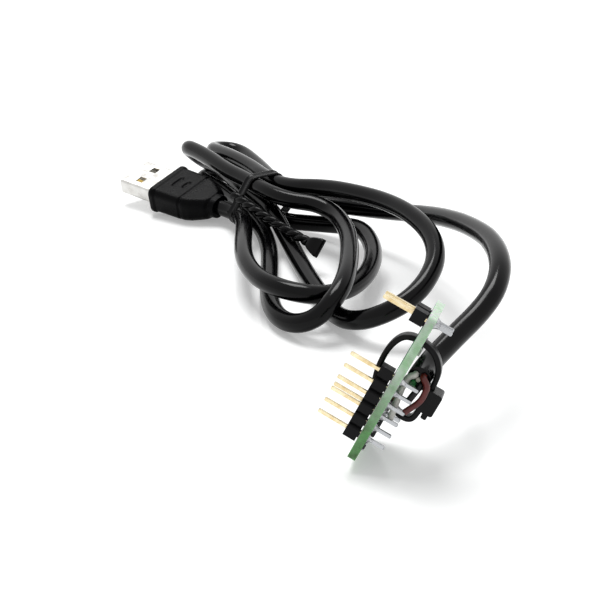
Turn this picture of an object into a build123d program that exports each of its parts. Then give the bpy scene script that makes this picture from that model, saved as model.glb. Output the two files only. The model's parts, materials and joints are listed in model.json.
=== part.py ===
from build123d import *
import math
import os

# A small USB microcontroller programmer, in millimetres, +Z up. A narrow circuit board leans back on
# its foot, with its cable tied across it, and the rest of the cable lies as a tied hank that ends in
# a USB plug. The origin is on the ground, below the middle of the board and what is fixed to it.

# ---- driving dimensions: circuit board ----
board_length = 31.0
board_width = 13.0
board_thickness = 1.6
board_corner = 0.6
lean_angle = 25.5
tip_back_angle = 10.0
foot_x = -5.73
foot_y = -8.77

# ---- driving dimensions: pin headers ----
pitch = 2.54
pin_side = 0.64
pin_reach = 6.0
pin_tail = 3.5
pin_bevel = 0.15
header_depth = 2.54
header_raise = 0.3
header_notch = 0.35
header_foot = 0.7
drill = 1.0
pad_diameter = 1.7
pad_thickness = 0.05
seat_gap = 0.02
joint_height = 0.9
joint_tip = 1.0
row_pins = 6
row_start = 3.44
row_line = 1.5
pair_pins = 2
pair_line = 1.54
single_pin_place = 2

# ---- driving dimensions: cable ----
cable_diameter = 4.5
cable_end_station = 18.6
cable_end_line = 4.4
cable_straight = 6.1
cable_plug_run = 6.0
cable_end_depth = 4.1
arc_share = 0.45
wire_diameter = 1.2
wire_leave = 0.9
wire_ring = 1.05
wire_turn = 60.0
filler_diameter = 0.8
filler_length = 0.8

# ---- driving dimensions: nylon strap on the board ----
strap_line = 7.0
strap_width = 2.5
strap_thickness = 1.1
slot_gap = 0.15
slot_straight = 0.5
strap_upper = 24.3
strap_lower = 10.8
strap_bulge = 3.2
strap_drop = 7.15
strap_corner = 1.6
head_station = 15.3
head_length = 4.5
head_width = 4.2
head_thickness = 3.5
head_wall = 0.4
head_round = 0.5
stub_length = 1.6
stub_drop = 2.3
stub_reach = 0.5
stub_round = 0.3

# ---- driving dimensions: USB plug ----
plug_x = -83.7
plug_y = 119.0
plug_yaw = 24.0
plug_pitch = 4.0
plug_roll = 14.0
grip_width = 15.8
grip_height = 8.0
grip_length = 18.0
grip_shoulder = 12.0
grip_rear_width = 9.0
grip_rear_height = 6.6
grip_round = 1.2
collar_length = 2.2
collar_step = 0.35
relief_width = 7.0
relief_height = 6.0
relief_length = 2.0
shell_width = 12.0
shell_height = 4.5
shell_reach = 12.2
shell_inside = 2.0
shell_wall = 0.3
shell_round = 0.8
latch_size = 2.3
latch_spread = 5.6
latch_place = 5.4
tongue_thickness = 1.9
tongue_short = 0.9
tongue_gap = 0.05
contact_count = 4
contact_spread = 2.3
contact_width = 1.0
contact_long = 8.4
contact_short = 7.4
contact_thickness = 0.2
contact_setback = 0.6

# ---- driving dimensions: wire tie of the hank ----
tie_x = -53.2
tie_y = 109.9
tie_turn = -49.5
tie_width = 3.6
tie_thickness = 0.4
tie_gap = 0.15
tail_diameter = 2.6
tip_length = 4.5
tip_root = (3.0, 1.8)
tip_end = (5.0, 2.0)
tip_round = 0.4

# ---- driving dimensions: small parts on the board ----
chip_side = 5.0
chip_height = 0.9
chip_station = 5.6
chip_line = 9.6
chip_bevel = 0.15
lead_width = 0.25
lead_reach = 0.8
lead_pitch = 0.8
leads_per_side = 4
lead_height = 0.3
small_round = 0.12
crystal_size = (3.2, 2.5, 0.7)
crystal_place = (13.4, 11.0)
resistor_size = (1.6, 0.8, 0.45)
resistor_places = [(2.0, 4.2), (2.0, 5.5), (23.0, 10.4), (23.0, 11.7)]
capacitor_size = (1.6, 0.8, 0.75)
capacitor_places = [(11.6, 8.95), (15.0, 8.95)]
lamp_size = (1.6, 0.8, 0.6)
lamp_place = (21.0, 11.2)

# ---- places worked out from the sizes ----
lean = math.radians(lean_angle)
tip_back = math.radians(tip_back_angle)
board_up = Vector(math.sin(lean), math.cos(lean) * math.sin(tip_back), math.cos(lean) * math.cos(tip_back))
board_face = Vector(-math.cos(lean), math.sin(lean) * math.sin(tip_back), math.sin(lean) * math.cos(tip_back))
corner_lift = board_corner * (board_up.Z + math.sin(tip_back) - math.hypot(board_up.Z, math.sin(tip_back)))
foot_z = board_width * math.sin(tip_back) + board_thickness * board_face.Z - corner_lift
# Local X runs up the board, local Y from its near edge to its far edge, and local Z out of the pin side.
BOARD = Plane(origin=(foot_x, foot_y, foot_z), x_dir=board_up, z_dir=board_face)


def on_board(station, line, height):
    """A point of the board's own frame, in the frame of the part."""
    return BOARD.from_local_coords(Vector(station, line, height))


def board_plane(height):
    """The board's plane, raised by a height from the pin side."""
    return BOARD.offset(height)


row_places = [(row_start + pitch * (i + 0.5), row_line) for i in range(row_pins)]
single_place = (row_start + pitch * (single_pin_place + 0.5), row_line + pitch)
pair_station = board_length - pitch / 2
pair_places = [(pair_station, pair_line + pitch * i) for i in range(pair_pins)]
pin_places = row_places + [single_place] + pair_places
header_top = header_raise + header_depth


# ---- circuit board ----
slot_depth = strap_thickness + 2 * slot_gap
slot_width = strap_width + 2 * slot_gap
with BuildPart() as pcb:
    with BuildSketch(board_plane(-board_thickness)):
        with Locations((board_length / 2, board_width / 2)):
            RectangleRounded(board_length, board_width, board_corner)
        with Locations(*pin_places):
            Circle(drill / 2, mode=Mode.SUBTRACT)
        with Locations((strap_upper, strap_line), (strap_lower, strap_line)):
            Rectangle(slot_depth, slot_width, mode=Mode.SUBTRACT)
    extrude(amount=board_thickness)


# ---- copper pads of both faces ----
with BuildPart() as solder_pads:
    for height in (0.0, -board_thickness - pad_thickness):
        with BuildSketch(board_plane(height)):
            with Locations(*pin_places):
                Circle(pad_diameter / 2)
                Circle(drill / 2, mode=Mode.SUBTRACT)
        extrude(amount=pad_thickness)


# ---- pin headers ----
def header_body(places, along_board):
    """A header's plastic body: one notched block per pin on two small feet, bored for the pins."""
    middle = tuple(sum(place[k] for place in places) / len(places) for k in (0, 1))
    long_side = pitch * len(places)
    size = (long_side, pitch) if along_board else (pitch, long_side)
    gaps = [(i - (len(places) - 2) / 2) * pitch for i in range(len(places) - 1)]
    with BuildPart() as body:
        with BuildSketch(board_plane(header_raise)):
            with Locations(middle):
                Rectangle(*size)
            for gap in gaps:
                for side in (-1, 1):
                    across = side * pitch / 2
                    corner = (gap, across) if along_board else (across, gap)
                    with Locations((middle[0] + corner[0], middle[1] + corner[1])):
                        Rectangle(header_notch * 2, header_notch * 2, rotation=45, mode=Mode.SUBTRACT)
        extrude(amount=header_depth)
        with BuildSketch(board_plane(pad_thickness)):
            with Locations(*places):
                for side in (-1, 1):
                    reach = side * (pitch - header_foot) / 2
                    foot = (0, reach) if along_board else (reach, 0)
                    with Locations(foot):
                        Rectangle(header_foot, header_foot)
        extrude(amount=header_raise - pad_thickness)
        with BuildSketch(board_plane(0)):
            with Locations(*places):
                Rectangle(pin_side + 2 * seat_gap, pin_side + 2 * seat_gap)
        extrude(amount=header_top, mode=Mode.SUBTRACT)
    return body.part


def header_pins(places):
    """Square pins that stand through the board, each with both ends bevelled."""
    with BuildPart() as pins:
        with BuildSketch(board_plane(-board_thickness - pin_tail)):
            with Locations(*places):
                Rectangle(pin_side, pin_side)
        extrude(amount=pin_tail + board_thickness + header_top + pin_reach)
        ends = pins.faces().filter_by(Axis(on_board(0, 0, 0), board_face)).edges()
        chamfer(ends, pin_bevel)
    return pins.part


six_pin_header_body = header_body(row_places, True)
six_pin_header_pins = header_pins(row_places)
single_pin_body = header_body([single_place], True)
single_pin = header_pins([single_place])
two_pin_header_body = header_body(pair_places, False)
two_pin_header_pins = header_pins(pair_places)


# ---- solder joints on the back face ----
with BuildPart() as solder_joints:
    joint_base = board_plane(-board_thickness - pad_thickness)
    joint_end = board_plane(-board_thickness - pad_thickness - joint_height)
    for place in pin_places:
        with BuildSketch(joint_base):
            with Locations(place):
                Circle(pad_diameter / 2)
        with BuildSketch(joint_end):
            with Locations(place):
                Circle(joint_tip / 2)
        loft()
    with BuildSketch(joint_end):
        with Locations(*pin_places):
            Rectangle(pin_side + 2 * seat_gap, pin_side + 2 * seat_gap)
    extrude(amount=joint_height + pad_thickness, mode=Mode.SUBTRACT)


# ---- chip and small parts on the back face ----
with BuildPart() as microcontroller:
    with BuildSketch(board_plane(-board_thickness - pad_thickness)):
        with Locations((chip_station, chip_line)):
            Rectangle(chip_side, chip_side)
    extrude(amount=-chip_height)
    chamfer(microcontroller.faces().sort_by(Axis(on_board(0, 0, 0), board_face))[0].edges(), chip_bevel)

lead_edge = chip_side / 2 + lead_reach / 2
with BuildPart() as microcontroller_leads:
    with BuildSketch(board_plane(-board_thickness)):
        with Locations((chip_station, chip_line)):
            with GridLocations(lead_pitch, 2 * lead_edge, leads_per_side, 2):
                Rectangle(lead_width, lead_reach)
            with GridLocations(2 * lead_edge, lead_pitch, 2, leads_per_side):
                Rectangle(lead_reach, lead_width)
    extrude(amount=-lead_height)


def small_part(size, place):
    """A small surface part, long side up the board, that lies on the back face."""
    with BuildPart() as block:
        with BuildSketch(board_plane(-board_thickness)):
            with Locations(place):
                RectangleRounded(size[0], size[1], small_round * min(size[0], size[1]))
        extrude(amount=-size[2])
    return block.part


crystal = small_part(crystal_size, crystal_place)
resistors = Compound([small_part(resistor_size, place) for place in resistor_places])
capacitors = Compound([small_part(capacitor_size, place) for place in capacitor_places])
status_lamp = small_part(lamp_size, lamp_place)


# ---- nylon strap and its head ----
# The strap's plane stands across the board, with local X up the board and local Y out of the pin side.
strap_plane = Plane(
    origin=on_board(0, strap_line, 0), x_dir=board_up, z_dir=board_up.cross(board_face)
)
strap_path = [
    (strap_upper, -board_thickness - slot_straight),
    (strap_upper, slot_straight),
    (22.2, 2.6),
    (19.0, strap_bulge),
    (14.6, 2.4),
    (strap_lower, slot_straight),
    (strap_lower, -board_thickness - slot_straight),
    (9.6, -3.8),
    (11.2, -strap_drop),
    (18.8, -strap_drop),
    (22.0, -5.5),
]
with BuildSketch(strap_plane) as strap_line_shape:
    with BuildLine():
        Polyline(*strap_path, close=True)
    make_face()
    fillet(strap_line_shape.vertices(), strap_corner)
with BuildPart() as strap:
    with BuildSketch(strap_plane):
        add(offset(strap_line_shape.sketch_local, strap_thickness / 2, mode=Mode.PRIVATE))
        add(offset(strap_line_shape.sketch_local, -strap_thickness / 2, mode=Mode.PRIVATE), mode=Mode.SUBTRACT)
    extrude(amount=strap_width / 2, both=True)

head_low = -strap_drop + strap_thickness / 2 + seat_gap + head_wall
with BuildPart() as strap_head:
    with BuildSketch(strap_plane.offset(-head_width / 2)):
        with Locations((head_station, head_low - head_thickness / 2)):
            RectangleRounded(head_length, head_thickness, head_round)
    extrude(amount=head_width)
    with BuildSketch(strap_plane.offset(-strap_width / 2 - seat_gap)):
        with Locations((head_station, -strap_drop)):
            Rectangle(head_length * 2, strap_thickness + 2 * seat_gap)
    extrude(amount=strap_width + 2 * seat_gap, mode=Mode.SUBTRACT)
    with BuildSketch(strap_plane.offset(-strap_width / 2)):
        with Locations((head_station - head_length / 2 - stub_reach, head_low - stub_drop)):
            RectangleRounded(stub_length, strap_thickness, stub_round)
    extrude(amount=strap_width)


# ---- USB plug ----
yaw = math.radians(plug_yaw)
pitch_up = math.radians(plug_pitch)
roll = math.radians(plug_roll)
plug_out = Vector(-math.cos(yaw) * math.cos(pitch_up), math.sin(yaw) * math.cos(pitch_up), math.sin(pitch_up))
plug_level = Vector(math.sin(yaw), math.cos(yaw), 0)
plug_lift = plug_level.cross(plug_out)
plug_top = plug_lift * math.cos(roll) - plug_level * math.sin(roll)
plug_side = plug_level * math.cos(roll) + plug_lift * math.sin(roll)
# The grip's sections, each a distance behind its front. The lowest rounded corner rests on the ground.
grip_sections = [
    (0, grip_width, grip_height),
    (collar_length, grip_width - 2 * collar_step, grip_height - 2 * collar_step),
    (grip_shoulder, grip_width - 4 * collar_step, grip_height - 2 * collar_step),
    (grip_length, grip_rear_width, grip_rear_height),
]
drops = []
for setback, width, height in grip_sections:
    corner_across = (width / 2 - grip_round) * plug_side.Z
    corner_down = (height / 2 - grip_round) * plug_top.Z
    drops.append(corner_across + corner_down + setback * plug_out.Z)
plug_z = max(drops) + grip_round
# Local X points out of the plug's shell, local Z out of its top face, and the origin is at the grip's front.
PLUG = Plane(origin=(plug_x, plug_y, plug_z), x_dir=plug_out, z_dir=plug_top)


def plug_section(reach):
    """A plane across the plug, a distance in front of the grip's front face."""
    return Plane(origin=PLUG.from_local_coords(Vector(reach, 0, 0)), x_dir=-plug_side, z_dir=plug_out)


with BuildPart() as usb_overmould:
    with BuildSketch(plug_section(0)):
        RectangleRounded(grip_width, grip_height, grip_round)
    extrude(amount=-collar_length)
    for setback, width, height in grip_sections[1:]:
        with BuildSketch(plug_section(-setback)):
            RectangleRounded(width, height, grip_round)
    loft(ruled=True)
    with BuildSketch(plug_section(-grip_length)):
        RectangleRounded(relief_width, relief_height, grip_round)
    extrude(amount=-relief_length)
    with BuildSketch(plug_section(-shell_inside)):
        RectangleRounded(shell_width, shell_height, shell_round)
    extrude(amount=shell_inside, mode=Mode.SUBTRACT)

with BuildPart() as usb_shell:
    with BuildSketch(plug_section(-shell_inside)):
        RectangleRounded(shell_width, shell_height, shell_round)
        RectangleRounded(
            shell_width - 2 * shell_wall, shell_height - 2 * shell_wall, shell_round - shell_wall, mode=Mode.SUBTRACT
        )
    extrude(amount=shell_reach + shell_inside)
    with BuildSketch(PLUG.offset(-shell_height)):
        with Locations((shell_reach - latch_place, 0)):
            with GridLocations(1, latch_spread, 1, 2):
                Rectangle(latch_size, latch_size)
    extrude(amount=2 * shell_height, mode=Mode.SUBTRACT)

# The tongue fills the lower half of the shell's mouth, and the contacts lie on it.
inner_height = shell_height - 2 * shell_wall
tongue_middle = -inner_height / 2 + tongue_gap + tongue_thickness / 2
tongue_width = shell_width - 2 * shell_wall - 2 * tongue_gap
tongue_length = shell_reach + shell_inside - tongue_short
with BuildPart() as usb_tongue:
    with BuildSketch(plug_section(-shell_inside)):
        with Locations((0, tongue_middle)):
            RectangleRounded(tongue_width, tongue_thickness, shell_round - shell_wall)
    extrude(amount=tongue_length)

contact_top = tongue_middle + tongue_thickness / 2
with BuildPart() as usb_contacts:
    with BuildSketch(PLUG.offset(contact_top)):
        for i in range(contact_count):
            long_one = contact_long if i in (0, contact_count - 1) else contact_short
            across = (i - (contact_count - 1) / 2) * contact_spread
            with Locations((shell_reach - tongue_short - contact_setback - long_one / 2, across)):
                Rectangle(long_one, contact_width)
    extrude(amount=contact_thickness)


# ---- cable ----
# The route runs from the board over a high arc to the hank's tie, through three loops and three folds,
# and back through the tie to the plug.
cable_start = on_board(cable_end_station, cable_end_line, -cable_end_depth)
cable_finish = PLUG.from_local_coords(Vector(-grip_length - relief_length, 0, 0))
route = [
    # the high arc from the board to the tie
    (10.5, 14, 18.5), (14.5, 21, 21), (17, 26.5, 24), (17, 35.5, 26),
    (13.5, 50.5, 25), (7, 66, 22), (0, 79, 18.5), (-6.5, 89.5, 15),
    (-14, 97.5, 12), (-23, 103.5, 10), (-32.5, 107.5, 9), (-44, 110, 8),
    # fold at the far end, top strands
    (-50.5, 118.5, 8), (-56, 130, 7.5), (-63, 142, 7), (-73, 156, 7),
    (-81, 150, 8.5), (-70.5, 137, 11), (-60, 124.5, 12), (-54, 115.5, 12.5),
    (-46, 107.5, 13),
    # second loop
    (-34, 102.5, 15.5), (-25, 96, 17), (-15.5, 88.5, 18), (-7.5, 79, 18.5),
    (-1.5, 69.5, 17.5), (1, 60.5, 15.5), (0, 52.5, 13), (-3, 47, 10.5),
    (-7.5, 44.5, 8), (-13.5, 45, 5), (-20, 51, 2.5), (-26.5, 63, 2.5),
    (-33.5, 76.5, 2.5), (-40.5, 90.5, 3.5),
    # middle fold
    (-49, 105, 7), (-56, 113.5, 7.5), (-64, 122.5, 8.2), (-72, 133.8, 7.8),
    (-80.3, 142.3, 7.2), (-84.5, 138, 12.8), (-75.5, 129.3, 13.2), (-66, 119, 12.5),
    (-58, 112, 12.5), (-50.5, 104, 12.5),
    # first loop
    (-43, 100, 12), (-36, 99.5, 12), (-29.5, 95.5, 11), (-24, 83.5, 11),
    (-20.5, 68, 11.5), (-18.5, 53.5, 11.5), (-19.5, 46, 9.5), (-23, 43, 5.5),
    (-28.5, 44, 3), (-34, 49, 2.5), (-38.5, 60, 2.5), (-42, 75, 2.5),
    (-46, 90, 2.5),
    # lowest fold
    (-51, 101.5, 2.8), (-57.6, 112, 3.1), (-64.1, 121.9, 2.9), (-71.8, 131.2, 2.8),
    (-81, 139, 2.8), (-74.2, 145.6, 2.8), (-65.8, 136.1, 2.8), (-59.2, 124.9, 2.8),
    (-54.3, 115.2, 3),
    # third loop and the way to the plug
    (-47.5, 108, 3), (-39.5, 108, 3), (-31.5, 105.5, 4), (-23.5, 99, 6.5),
    (-18, 86.5, 6.5), (-16, 73, 6.5), (-17.5, 61, 6.5), (-22, 52, 7.4),
    (-28, 49, 8.5), (-35.5, 52, 8.5), (-41.5, 58.5, 8), (-46.5, 67.5, 8),
    (-50, 79, 7.5), (-53, 91, 6.5), (-56, 101, 5.5),
]

cable_leave = on_board(cable_end_station, cable_end_line + cable_straight, -cable_end_depth)
cable_arrive = PLUG.from_local_coords(Vector(-grip_length - relief_length - cable_plug_run, 0, 0))
hand_points = [Vector(*point) for point in route]
route_points = [cable_start, cable_leave] + hand_points + [cable_arrive, cable_finish]


def bend_radii(points, share):
    """The radius of each corner: as large as the shorter of its two runs allows."""
    radii = []
    for before, here, after in zip(points, points[1:], points[2:]):
        run_in = here - before
        run_out = after - here
        half_turn = math.radians(run_in.get_angle(run_out)) / 2
        radii.append(share * min(run_in.length, run_out.length) / math.tan(half_turn))
    return radii


def tube_line(points, share):
    """The middle line of a tube: straight runs that are joined by tangent arcs."""
    with BuildLine() as path:
        FilletPolyline(*points, radius=bend_radii(points, share))
    return path.line


def tube(line, diameter):
    """A round tube along a line."""
    with BuildPart() as swept:
        with BuildLine():
            add(line)
        with BuildSketch(line ^ 0):
            Circle(diameter / 2)
        sweep()
    return swept.part


cable_line = tube_line(route_points, arc_share)
cable_length = sum(edge.length for edge in cable_line.edges())
cable_jacket = tube(cable_line, cable_diameter)
section_area = math.pi * cable_diameter**2 / 4
print("cable radii:", [round(radius, 1) for radius in bend_radii(route_points, arc_share)])
print("cable length:", round(cable_length, 1), "volume:", round(cable_jacket.volume, 1))
print("section times length:", round(section_area * cable_length, 1))

# ---- conductors at the cable's cut end ----
# Each conductor leaves the jacket's face and ends beside the tail of one pin. Its points between are given as
# how far down the board from the jacket's end, how far out of its face, and how deep behind the pin side.
wire_layer = row_line + pin_side / 2 + wire_diameter / 2 + seat_gap
wires = {
    "wire_white": ([(0.2, 0.95, 2.3), (2.8, 1.0, 2.3)], (2, 3.3)),
    "wire_green": ([], (5, 3.6)),
    "wire_black": ([], (4, 4.5)),
    "wire_red": ([(0.0, 1.4, 6.2), (3.0, 1.4, 6.5)], (3, 4.9)),
}
end_plane = Plane(origin=cable_start, x_dir=board_up, z_dir=cable_start - cable_leave)
wire_parts = {}
for i, (name, (middle_points, (pin_number, depth))) in enumerate(wires.items()):
    around = math.radians(wire_turn + 360 * i / len(wires))
    place = (wire_ring * math.cos(around), wire_ring * math.sin(around))
    points = [end_plane.from_local_coords(Vector(place[0], place[1], out)) for out in (0, wire_leave)]
    points += [
        on_board(cable_end_station - down, cable_end_line - out, -deep) for down, out, deep in middle_points
    ]
    points.append(on_board(row_places[pin_number][0], wire_layer, -depth))
    wire_parts[name] = tube(tube_line(points, arc_share), wire_diameter)

with BuildPart() as cable_filler:
    with BuildSketch(end_plane):
        Circle(filler_diameter / 2)
    extrude(amount=filler_length)

# ---- wire tie round the hank ----
TIE = Plane(
    origin=(tie_x, tie_y, 0),
    x_dir=(-math.sin(math.radians(tie_turn)), math.cos(math.radians(tie_turn)), 0),
    z_dir=(math.cos(math.radians(tie_turn)), math.sin(math.radians(tie_turn)), 0),
)
strand_places = []
for run_start, run_end in zip(route_points, route_points[1:]):
    near = TIE.to_local_coords(run_start)
    far = TIE.to_local_coords(run_end)
    if near.Z * far.Z < 0:
        crossing = near + (far - near) * (near.Z / (near.Z - far.Z))
        strand_places.append((crossing.X, crossing.Y))
print("strands in the tie:", len(strand_places))


def band_outline(clearance):
    """The outline of a band drawn tight round the strands, a clearance away from them."""
    with BuildSketch() as outline:
        with BuildLine():
            for place in strand_places:
                CenterArc(place, cable_diameter / 2 + clearance, 0, 360)
        make_hull()
    return outline.sketch_local


outer_band = band_outline(tie_gap + tie_thickness)
inner_band = band_outline(tie_gap)
with BuildPart() as wire_tie:
    with BuildSketch(TIE):
        add(outer_band)
        add(inner_band, mode=Mode.SUBTRACT)
    extrude(amount=tie_width / 2, both=True)

tail_route = [
    TIE.from_local_coords(Vector(-8.6, 10.6, 0)),
    TIE.from_local_coords(Vector(-7.6, 9.6, 8.0)),
    Vector(-41.0, 89.5, 7.5),
    Vector(-34.2, 84.1, 7.0),
]
tie_tails = tube(tube_line(tail_route, arc_share), tail_diameter)
tail_end = tail_route[-1]
TAIL_TIP = Plane(origin=tail_end, x_dir=(0.35, 0.45, 0.82), z_dir=tail_end - tail_route[-2])
with BuildPart() as tie_tail_tips:
    with BuildSketch(TAIL_TIP):
        RectangleRounded(*tip_root, tip_round)
    with BuildSketch(TAIL_TIP.offset(tip_length)):
        RectangleRounded(*tip_end, tip_round)
    loft()

# ---- write each piece ----
pieces = {
    "pcb": pcb.part,
    "solder_pads": solder_pads.part,
    "six_pin_header_body": six_pin_header_body,
    "six_pin_header_pins": six_pin_header_pins,
    "single_pin_body": single_pin_body,
    "single_pin": single_pin,
    "two_pin_header_body": two_pin_header_body,
    "two_pin_header_pins": two_pin_header_pins,
    "solder_joints": solder_joints.part,
    "microcontroller": microcontroller.part,
    "microcontroller_leads": microcontroller_leads.part,
    "crystal": crystal,
    "resistors": resistors,
    "capacitors": capacitors,
    "status_lamp": status_lamp,
    "strap": strap.part,
    "strap_head": strap_head.part,
    "cable_jacket": cable_jacket,
    "cable_filler": cable_filler.part,
    "usb_overmould": usb_overmould.part,
    "usb_shell": usb_shell.part,
    "usb_tongue": usb_tongue.part,
    "usb_contacts": usb_contacts.part,
    "wire_tie": wire_tie.part,
    "tie_tails": tie_tails,
    "tie_tail_tips": tie_tail_tips.part,
}
pieces.update(wire_parts)
os.makedirs("parts", exist_ok=True)
for name, piece in pieces.items():
    piece.label = name
    export_step(piece, f"parts/{name}.step")
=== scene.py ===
"""A USB microcontroller programmer: a circuit board on its foot, its tied cable and its plug."""

from __future__ import annotations

import json
import logging
import math
from collections.abc import Iterable, Sequence
from dataclasses import dataclass, field
from enum import Enum

import bmesh
import bpy
from bmesh.types import BMesh
from bpy.types import ID, Curve, Material, Mesh, Node, NodeSocket, NodeTree, Object
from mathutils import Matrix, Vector

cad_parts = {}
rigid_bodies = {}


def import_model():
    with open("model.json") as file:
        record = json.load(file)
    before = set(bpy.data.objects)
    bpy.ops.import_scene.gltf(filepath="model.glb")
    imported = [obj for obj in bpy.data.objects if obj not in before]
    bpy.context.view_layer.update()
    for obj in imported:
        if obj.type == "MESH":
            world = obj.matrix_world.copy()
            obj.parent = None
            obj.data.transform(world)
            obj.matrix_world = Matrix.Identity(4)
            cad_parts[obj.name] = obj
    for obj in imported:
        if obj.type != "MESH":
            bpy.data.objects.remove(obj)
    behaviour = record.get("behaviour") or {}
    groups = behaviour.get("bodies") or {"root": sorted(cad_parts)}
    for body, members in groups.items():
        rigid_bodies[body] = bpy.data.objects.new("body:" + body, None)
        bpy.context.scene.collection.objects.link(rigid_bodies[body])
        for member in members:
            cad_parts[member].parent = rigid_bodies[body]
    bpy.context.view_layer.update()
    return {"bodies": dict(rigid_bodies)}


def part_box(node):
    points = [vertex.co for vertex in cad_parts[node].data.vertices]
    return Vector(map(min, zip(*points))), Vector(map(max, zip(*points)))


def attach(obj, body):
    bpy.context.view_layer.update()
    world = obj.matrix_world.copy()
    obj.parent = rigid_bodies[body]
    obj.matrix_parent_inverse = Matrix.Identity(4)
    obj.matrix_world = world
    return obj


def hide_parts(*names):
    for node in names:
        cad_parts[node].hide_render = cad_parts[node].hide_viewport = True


log = logging.getLogger("programmer")
MM = 0.001
MERGE = 1e-7  # metres under which two vertices are one
Pair = tuple[float, float]
Triple = tuple[float, float, float]

# The cable's route in millimetres, between its two computed ends: a high arc, three folds and three loops.
ROUTE: tuple[Triple, ...] = (
    # the high arc from the board to the tie
    (10.5, 14, 18.5), (14.5, 21, 21), (17, 26.5, 24), (17, 35.5, 26),
    (13.5, 50.5, 25), (7, 66, 22), (0, 79, 18.5), (-6.5, 89.5, 15),
    (-14, 97.5, 12), (-23, 103.5, 10), (-32.5, 107.5, 9), (-44, 110, 8),
    # fold at the far end, top strands
    (-50.5, 118.5, 8), (-56, 130, 7.5), (-63, 142, 7), (-73, 156, 7),
    (-81, 150, 8.5), (-70.5, 137, 11), (-60, 124.5, 12), (-54, 115.5, 12.5),
    (-46, 107.5, 13),
    # second loop
    (-34, 102.5, 15.5), (-25, 96, 17), (-15.5, 88.5, 18), (-7.5, 79, 18.5),
    (-1.5, 69.5, 17.5), (1, 60.5, 15.5), (0, 52.5, 13), (-3, 47, 10.5),
    (-7.5, 44.5, 8), (-13.5, 45, 5), (-20, 51, 2.5), (-26.5, 63, 2.5),
    (-33.5, 76.5, 2.5), (-40.5, 90.5, 3.5),
    # middle fold
    (-49, 105, 7), (-56, 113.5, 7.5), (-64, 122.5, 8.2), (-72, 133.8, 7.8),
    (-80.3, 142.3, 7.2), (-84.5, 138, 12.8), (-75.5, 129.3, 13.2), (-66, 119, 12.5),
    (-58, 112, 12.5), (-50.5, 104, 12.5),
    # first loop
    (-43, 100, 12), (-36, 99.5, 12), (-29.5, 95.5, 11), (-24, 83.5, 11),
    (-20.5, 68, 11.5), (-18.5, 53.5, 11.5), (-19.5, 46, 9.5), (-23, 43, 5.5),
    (-28.5, 44, 3), (-34, 49, 2.5), (-38.5, 60, 2.5), (-42, 75, 2.5),
    (-46, 90, 2.5),
    # lowest fold
    (-51, 101.5, 2.8), (-57.6, 112, 3.1), (-64.1, 121.9, 2.9), (-71.8, 131.2, 2.8),
    (-81, 139, 2.8), (-74.2, 145.6, 2.8), (-65.8, 136.1, 2.8), (-59.2, 124.9, 2.8),
    (-54.3, 115.2, 3),
    # third loop and the way to the plug
    (-47.5, 108, 3), (-39.5, 108, 3), (-31.5, 105.5, 4), (-23.5, 99, 6.5),
    (-18, 86.5, 6.5), (-16, 73, 6.5), (-17.5, 61, 6.5), (-22, 52, 7.4),
    (-28, 49, 8.5), (-35.5, 52, 8.5), (-41.5, 58.5, 8), (-46.5, 67.5, 8),
    (-50, 79, 7.5), (-53, 91, 6.5), (-56, 101, 5.5),
)


# ---------------------------------------------------------------- colours, nodes and finishes


def linear(code: str) -> tuple[float, float, float, float]:
    """Turn an sRGB hex colour to linear.

    Args:
        code: six hex digits, with or without a leading #.

    Returns:
        The linear red, green and blue, and an alpha of one.
    """
    digits = code.lstrip("#")
    parts = [int(digits[i : i + 2], 16) / 255 for i in (0, 2, 4)]
    curve = [c / 12.92 if c <= 0.04045 else ((c + 0.055) / 1.055) ** 2.4 for c in parts]
    return (curve[0], curve[1], curve[2], 1.0)


def add_node(tree: NodeTree, kind: str, links: dict | None = None, **settings: object) -> Node:
    """Add a node with its settings, and fill or link its inputs.

    Args:
        tree: the node tree to add to.
        kind: the node's type name.
        links: input name or number to a value, or to the output socket that feeds it.
        **settings: the node's own properties.

    Returns:
        The new node.
    """
    node = tree.nodes.new(kind)
    for name, value in settings.items():
        setattr(node, name, value)
    for key, value in (links or {}).items():
        if isinstance(value, NodeSocket):
            tree.links.new(value, node.inputs[key])
        else:
            node.inputs[key].default_value = value
    return node


def maths(tree: NodeTree, operation: str, *values: object) -> NodeSocket:
    """Add a maths node of numbers or sockets, and give its result."""
    return add_node(tree, "ShaderNodeMath", dict(enumerate(values)), operation=operation).outputs[0]


def dot(tree: NodeTree, one: object, two: object) -> NodeSocket:
    """Add the dot product of two vectors, and give its result."""
    return add_node(tree, "ShaderNodeVectorMath", {0: one, 1: two}, operation="DOT_PRODUCT").outputs["Value"]


def mix(tree: NodeTree, share: NodeSocket, one: object, two: object) -> NodeSocket:
    """Add a mix of two colours, one where the share is 0 and two where it is 1, and give its result."""
    return add_node(tree, "ShaderNodeMix", {"Factor": share, 6: one, 7: two}, data_type="RGBA").outputs[2]


def remap(tree: NodeTree, value: NodeSocket, source: Pair, target: Pair = (0.0, 1.0)) -> NodeSocket:
    """Add a node that maps one range of numbers to another, and give its result."""
    ends = {"From Min": source[0], "From Max": source[1], "To Min": target[0], "To Max": target[1]}
    return add_node(tree, "ShaderNodeMapRange", {"Value": value, **ends}).outputs["Result"]


def noise(tree: NodeTree, place: NodeSocket, scale: float, detail: float = 3.0) -> NodeSocket:
    """Add a noise texture, and give its value."""
    links = {"Vector": place, "Scale": scale, "Detail": detail}
    return add_node(tree, "ShaderNodeTexNoise", links).outputs["Fac"]


class Grain(Enum):
    """How a surface was made, which sets the shape of its fine relief."""

    MOULDED = "moulded"
    BRUSHED = "brushed"
    WOVEN = "woven"
    SPARKED = "sparked"


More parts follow.
